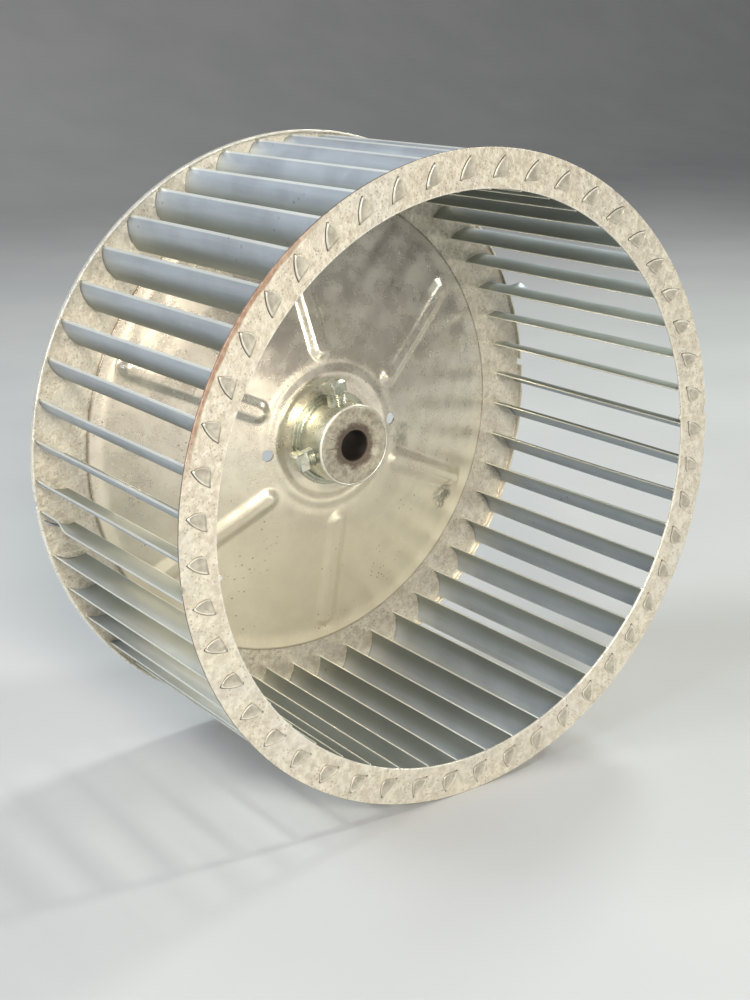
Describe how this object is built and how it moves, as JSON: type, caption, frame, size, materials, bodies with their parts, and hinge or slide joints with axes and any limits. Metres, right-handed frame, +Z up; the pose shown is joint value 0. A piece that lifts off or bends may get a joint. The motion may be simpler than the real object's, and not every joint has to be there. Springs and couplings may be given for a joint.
{
  "type": "blower motor wheel",
  "caption": "Single-inlet forward-curved centrifugal blower wheel: curved sheet-metal blades between end rings, coned back disc and bored hub with square-head set screws.",
  "frame": {"origin": "centre of the wheel, on the shaft axis midway between the two end rings", "axes": "+Y along the shaft towards the closed back, -Y towards the open inlet, +Z up, +X to the right as seen from the inlet"},
  "size_m": [0.254, 0.1218, 0.254],
  "materials": {
    "galvanised_ring": "matte, warm, mottled galvanised sheet",
    "galvanised_disc": "semi-gloss galvanised sheet with dark pitting and stains",
    "galvanised_blade": "satin grey galvanised sheet with bright edges",
    "zinc_plated_steel": "turned, zinc-plated, slightly yellow",
    "zinc_plated_screw": "zinc-plated, worn thread crests"
  },
  "bodies": {
    "wheel": {"front_ring": "galvanised_ring", "back_ring": "galvanised_ring", "centre_disc": "galvanised_disc", "hub": "zinc_plated_steel", "blade_01": "galvanised_blade", "blade_02": "galvanised_blade", "blade_03": "galvanised_blade", "blade_04": "galvanised_blade", "blade_05": "galvanised_blade", "blade_06": "galvanised_blade", "blade_07": "galvanised_blade", "blade_08": "galvanised_blade", "blade_09": "galvanised_blade", "blade_10": "galvanised_blade", "blade_11": "galvanised_blade", "blade_12": "galvanised_blade", "blade_13": "galvanised_blade", "blade_14": "galvanised_blade", "blade_15": "galvanised_blade", "blade_16": "galvanised_blade", "blade_17": "galvanised_blade", "blade_18": "galvanised_blade", "blade_19": "galvanised_blade", "blade_20": "galvanised_blade", "blade_21": "galvanised_blade", "blade_22": "galvanised_blade", "blade_23": "galvanised_blade", "blade_24": "galvanised_blade", "blade_25": "galvanised_blade", "blade_26": "galvanised_blade", "blade_27": "galvanised_blade", "blade_28": "galvanised_blade", "blade_29": "galvanised_blade", "blade_30": "galvanised_blade", "blade_31": "galvanised_blade", "blade_32": "galvanised_blade", "blade_33": "galvanised_blade", "blade_34": "galvanised_blade", "blade_35": "galvanised_blade", "blade_36": "galvanised_blade", "blade_37": "galvanised_blade", "blade_38": "galvanised_blade", "blade_39": "galvanised_blade", "blade_40": "galvanised_blade", "blade_41": "galvanised_blade", "blade_42": "galvanised_blade", "blade_43": "galvanised_blade", "blade_44": "galvanised_blade", "blade_45": "galvanised_blade", "blade_46": "galvanised_blade", "blade_47": "galvanised_blade", "blade_48": "galvanised_blade"},
    "upper_screw": {"set_screw_upper": "zinc_plated_screw"},
    "lower_screw": {"set_screw_lower": "zinc_plated_screw"}
  },
  "joints": [
    {"name": "upper_screw_travel", "type": "slide", "parent": "wheel", "child": "upper_screw", "axis": [-0.2079, 0, 0.9781], "range_m": [-0.0038, 0.0062]},
    {"name": "lower_screw_travel", "type": "slide", "parent": "wheel", "child": "lower_screw", "axis": [-0.9781, 0, -0.2079], "range_m": [-0.002, 0.008]}
  ]
}
